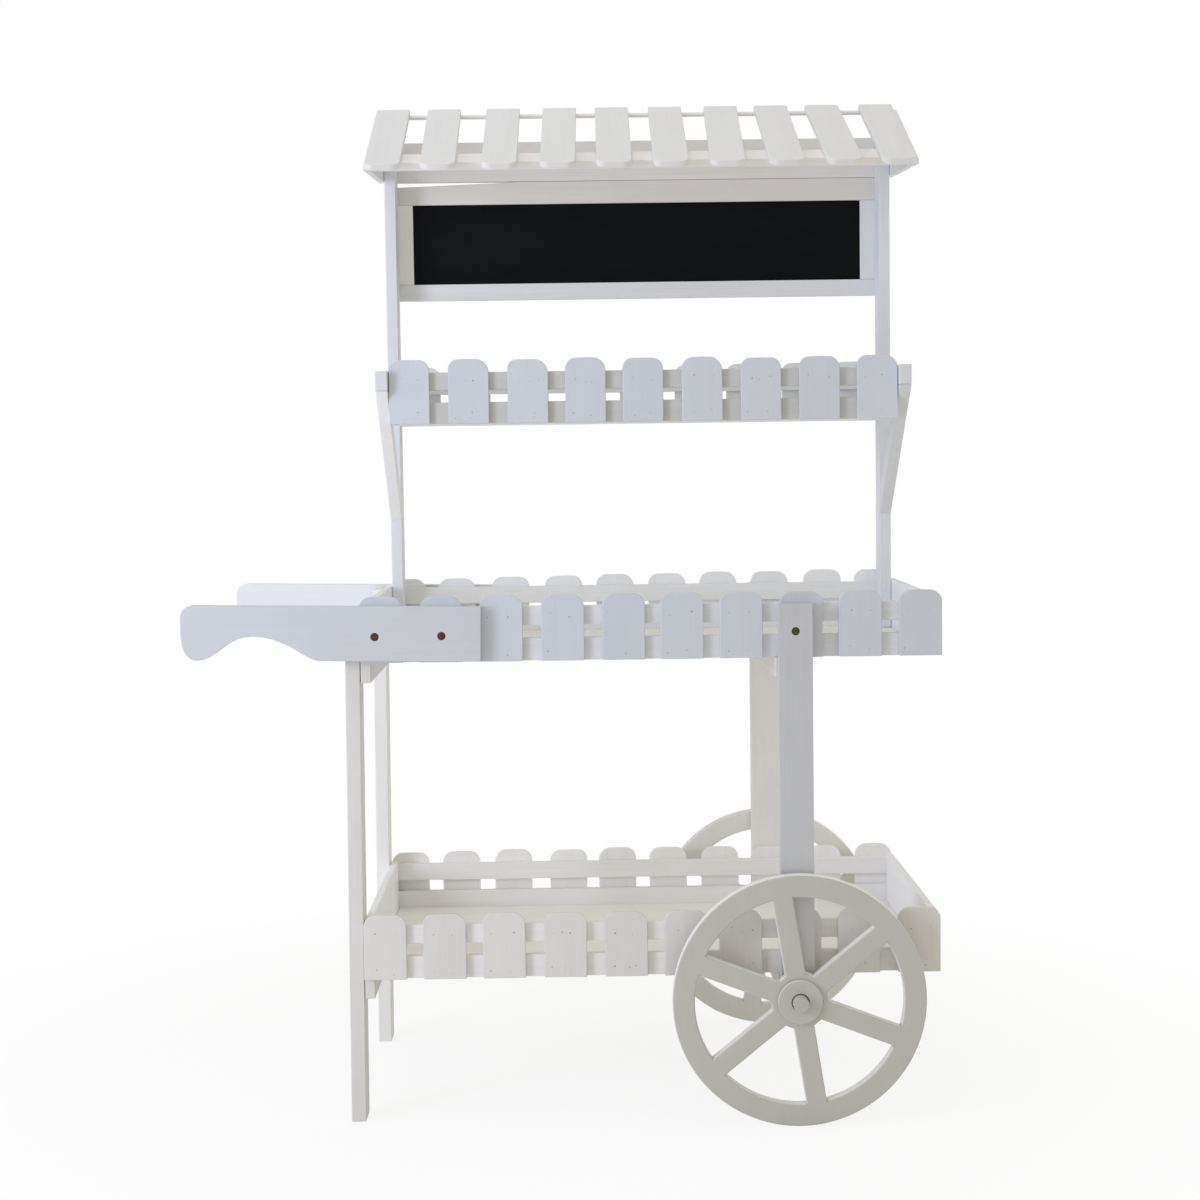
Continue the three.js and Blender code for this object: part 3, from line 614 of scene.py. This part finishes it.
# The hub discs: the rounding of their rim and of their bore, and how far they sink into the plate
HUB_EDGE, BORE_EDGE, HUB_SINK = 1.5 * MM, 0.6 * MM, 0.1 * MM
# A wheel face takes the lighter edge paint, a painted highlight, where its normal's share along the axle is
# below this
EDGE_HIGHLIGHT_NORMAL = 0.5


def wheel_plate():
    """The sawn disc with its six windows: a filled flat curve with rounded edges, turned into a mesh."""
    curve = bpy.data.curves.new("wheel_outline", "CURVE")
    curve.dimensions = "2D"
    curve.fill_mode = "BOTH"
    curve.extrude = PLATE_T / 2 - WHEEL_EDGE
    curve.bevel_depth = WHEEL_EDGE
    curve.bevel_resolution = 2
    curve.offset = -WHEEL_EDGE

    def outline(points):
        spline = curve.splines.new("POLY")
        spline.points.add(len(points) - 1)
        for point, (x, z) in zip(spline.points, points):
            point.co = (x, z, 0, 1)
        spline.use_cyclic_u = True

    for radius, points in ((WHEEL_R, RIM_POINTS), (BORE_R, BORE_POINTS)):
        outline(arc(0, 0, radius, 0, 360 * (points - 1) / points, points - 1))
    step = 360 / SPOKES
    inner = WHEEL_R - RIM_W
    at_rim = math.degrees(math.asin(SPOKE_W / 2 / inner))
    at_web = math.degrees(math.asin(SPOKE_W / 2 / WEB_R))
    for index in range(SPOKES):
        angle = FIRST_SPOKE + step * index
        outline(arc(0, 0, inner, angle + at_rim, angle + step - at_rim, WINDOW_STEPS)
                + arc(0, 0, WEB_R, angle + step - at_web, angle + at_web, 1))
    drawn = bpy.data.objects.new("wheel_outline", curve)
    bpy.context.scene.collection.objects.link(drawn)
    bpy.context.view_layer.update()
    data = bpy.data.meshes.new_from_object(drawn.evaluated_get(bpy.context.evaluated_depsgraph_get()))
    bpy.data.objects.remove(drawn)
    mesh = bmesh.new()
    mesh.from_mesh(data)
    bpy.data.meshes.remove(data)
    bmesh.ops.remove_doubles(mesh, verts=mesh.verts, dist=CURVE_WELD_GAP)
    return mesh


def add_lathe(mesh, profile):
    """Turns a closed profile of (radius, height) points about the wheel's axis into the mesh."""
    angles = [2 * math.pi * i / LATHE_SIDES for i in range(LATHE_SIDES)]
    rings = [[mesh.verts.new((r * math.cos(a), r * math.sin(a), h)) for a in angles] for r, h in profile]
    for ring, following in zip(rings, rings[1:] + rings[:1]):
        for i in range(LATHE_SIDES):
            j = (i + 1) % LATHE_SIDES
            mesh.faces.new((ring[i], ring[j], following[j], following[i]))


def hub_profile(start, end):
    """Half section of a hub disc between two heights, with its outer corner at end rounded."""
    way = 1 if end > start else -1
    points = [(BORE_R, start), (BORE_R, end - way * BORE_EDGE), (BORE_R + BORE_EDGE, end)]
    for k in range(4):
        a = math.radians(30 * k)
        points.append((HUB_R - HUB_EDGE + HUB_EDGE * math.sin(a), end - way * HUB_EDGE * (1 - math.cos(a))))
    return points + [(HUB_R, start)]


for side, word in ((-1, "front"), (1, "back")):
    low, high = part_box(f"{word}_wheel")
    mesh = wheel_plate()
    half = PLATE_T / 2
    add_lathe(mesh, hub_profile(half - HUB_SINK, half + OUTER_HUB_T))
    add_lathe(mesh, hub_profile(-half + HUB_SINK, -half - INNER_HUB_T))
    bmesh.ops.recalc_face_normals(mesh, faces=mesh.faces)
    # Edge faces take the second material: a painted highlight on the rim, windows and hubs
    for face in mesh.faces:
        face.material_index = 1 if abs(face.normal.z) < EDGE_HIGHLIGHT_NORMAL else 0
    outer_plate = (low.y + OUTER_HUB_T) if side < 0 else (high.y - OUTER_HUB_T)
    centre = Vector(((low.x + high.x) / 2, outer_plate - side * half, (low.z + high.z) / 2))
    if side < 0:
        turn = Matrix(((1, 0, 0), (0, 0, -1), (0, 1, 0))).to_4x4()
    else:
        turn = Matrix(((-1, 0, 0), (0, 0, 1), (0, 1, 0))).to_4x4()
    bmesh.ops.transform(mesh, matrix=Matrix.Translation(centre) @ turn, verts=mesh.verts)
    paint = wheel_paint if side < 0 else far_wheel_lit_paint
    piece = finish_piece(mesh, f"{word}_cart_wheel", [paint, wheel_edge_highlight_paint], f"{word}_wheel")
    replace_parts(piece, f"{word}_wheel")

# ---------------------------------------------------------------- studio

def floor_white():
    """Pale floor, lifted to white where the camera, metal or glass sees it, with a faint shadow kept."""
    tree = Tree("floor_white")
    tree.bsdf.inputs["Base Color"].default_value = (0.86, 0.86, 0.86, 1)
    tree.bsdf.inputs["Roughness"].default_value = 0.9
    place = tree.add("ShaderNodeTexCoord").outputs["Object"]
    reach = tree.add("ShaderNodeVectorMath", {0: place}, operation="LENGTH").outputs["Value"]
    glow = tree.add("ShaderNodeMapRange", {
        "Value": reach, "From Min": 0.8, "From Max": 1.6, "To Min": 0.84, "To Max": 1.0})
    path = tree.add("ShaderNodeLightPath")
    seen = tree.math("MAXIMUM", path.outputs["Is Camera Ray"], path.outputs["Is Glossy Ray"])
    seen = tree.math("MAXIMUM", seen, path.outputs["Is Transmission Ray"])
    light = tree.add("ShaderNodeEmission", {"Color": (1, 1, 1, 1), "Strength": 1.0})
    share = tree.math("MULTIPLY", seen, glow.outputs[0])
    mixer = tree.add("ShaderNodeMixShader", {
        0: share, 1: tree.bsdf.outputs[0], 2: light.outputs[0]})
    tree.links.new(mixer.outputs[0], tree.output.inputs["Surface"])
    return tree.material


def studio_floor():
    data = bpy.data.meshes.new("studio_floor")
    half = 30.0  # metres, so that its edge lies beyond the view
    data.from_pydata([(-half, -half, 0), (half, -half, 0), (half, half, 0), (-half, half, 0)],
                     [], [(0, 1, 2, 3)])
    data.materials.append(floor_white())
    floor = bpy.data.objects.new("studio_floor", data)
    bpy.context.scene.collection.objects.link(floor)


studio_floor()

world = bpy.data.worlds.new("studio")
bpy.context.scene.world = world
world.use_nodes = True
w_nodes, w_links = world.node_tree.nodes, world.node_tree.links
w_nodes.clear()
seen_path = w_nodes.new("ShaderNodeLightPath")
soft = w_nodes.new("ShaderNodeBackground")
soft.inputs["Color"].default_value = (1.0, 0.965, 0.85, 1)
soft.inputs["Strength"].default_value = 0.6
white = w_nodes.new("ShaderNodeBackground")
white.inputs["Color"].default_value = (1, 1, 1, 1)
white.inputs["Strength"].default_value = 1.0
either = w_nodes.new("ShaderNodeMath")
either.operation = "MAXIMUM"
w_links.new(seen_path.outputs["Is Camera Ray"], either.inputs[0])
w_links.new(seen_path.outputs["Is Transmission Ray"], either.inputs[1])
choose = w_nodes.new("ShaderNodeMixShader")
w_links.new(either.outputs[0], choose.inputs[0])
w_links.new(soft.outputs[0], choose.inputs[1])
w_links.new(white.outputs[0], choose.inputs[2])
w_out = w_nodes.new("ShaderNodeOutputWorld")
w_links.new(choose.outputs[0], w_out.inputs["Surface"])


def area_light(name, place, target, size, power, colour):
    """A rectangular lamp that points at target, with its power in watts."""
    data = bpy.data.lights.new(name, "AREA")
    data.shape = "RECTANGLE"
    data.size, data.size_y = size
    data.energy = power
    data.color = colour
    lamp = bpy.data.objects.new(name, data)
    lamp.location = place
    lamp.rotation_euler = (Vector(target) - Vector(place)).to_track_quat("-Z", "Y").to_euler()
    bpy.context.scene.collection.objects.link(lamp)


area_light("side_window", (-3.5, -0.25, 1.3), (0, -0.15, 0.9), (2.0, 2.4), 12, (0.86, 0.91, 1.0))
area_light("front_window", (-2.2, -1.9, 1.3), (0, -0.15, 0.85), (0.9, 1.6), 34, (0.75, 0.80, 1.0))
area_light("right_fill", (2.6, 0.25, 1.3), (0.3, 0.1, 0.9), (0.8, 1.6), 12, (1.0, 0.98, 0.95))
area_light("ceiling", (-0.3, -0.3, 3.6), (0, 0, 0.5), (2.5, 2.5), 20, (0.78, 0.83, 1.0))

# ---------------------------------------------------------------- camera

# Fitted to corners of the cart in the photo: angles in radians, place in metres, lens and sensor in mm
YAW, PITCH, ROLL = -0.009666243, 0.069664772, -0.01357358
CAMERA_PLACE = (0.026749, -3.574903, 1.063638)
LENS, SENSOR = 63.3257, 36
forward = Vector((-math.sin(YAW) * math.cos(PITCH), math.cos(YAW) * math.cos(PITCH), -math.sin(PITCH)))
right = Vector((math.cos(YAW), math.sin(YAW), 0))
up = right.cross(forward)
camera_x = right * math.cos(ROLL) + up * math.sin(ROLL)
camera_y = up * math.cos(ROLL) - right * math.sin(ROLL)
turned = Matrix((camera_x, camera_y, -forward)).transposed().to_4x4()
camera_data = bpy.data.cameras.new("camera")
camera_data.sensor_width = SENSOR
camera_data.lens = LENS
camera_data.clip_end = 60
camera = bpy.data.objects.new("camera", camera_data)
camera.matrix_world = Matrix.Translation(CAMERA_PLACE) @ turned
bpy.context.scene.collection.objects.link(camera)
bpy.context.scene.camera = camera
bpy.context.scene.view_settings.view_transform = "Standard"
